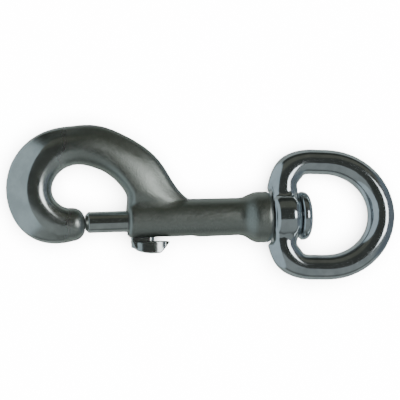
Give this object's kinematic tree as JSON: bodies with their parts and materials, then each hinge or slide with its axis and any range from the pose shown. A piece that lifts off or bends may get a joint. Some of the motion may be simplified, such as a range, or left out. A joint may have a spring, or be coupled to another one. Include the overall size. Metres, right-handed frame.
{
  "type": "swivel eye bolt snap hook",
  "caption": "Swivel-eye bolt snap: a cast hook whose gap is shut by a spring-loaded bolt with a thumb lever, on a free-turning D-shaped eye.",
  "frame": {"origin": "middle of the eye's opening, on the swivel axis", "axes": "+X along the barrel and swivel axis from the hook to the eye, +Y towards the side the hook's arch is on, +Z square to the hook's plane, up when the part lies on its side"},
  "size_m": [0.1178, 0.0487, 0.0154],
  "materials": {
    "cast_plated": "nickel-plated cast iron, satin, with fine pitting",
    "bolt_plated": "nickel-plated steel, smooth",
    "spring_steel": "drawn spring wire",
    "pin_plated": "nickel-plated steel, bright",
    "eye_plated": "nickel-plated forged steel, bright"
  },
  "bodies": {
    "hook": {"hook_body": "cast_plated", "swivel_pin": "pin_plated", "bolt_spring": "spring_steel"},
    "bolt": {"latch_bolt": "bolt_plated"},
    "eye": {"swivel_eye": "eye_plated"}
  },
  "joints": [
    {"name": "bolt_slide", "type": "slide", "parent": "hook", "child": "bolt", "axis": [1, 0, 0], "range_m": [0, 0.012], "stiffness_N_per_m": 350, "springref_m": -0.008, "deforming": ["bolt_spring"]},
    {"name": "eye_swivel", "type": "hinge", "parent": "hook", "child": "eye", "pos_m": [-0.015, 0, 0], "axis": [1, 0, 0], "continuous": true}
  ]
}
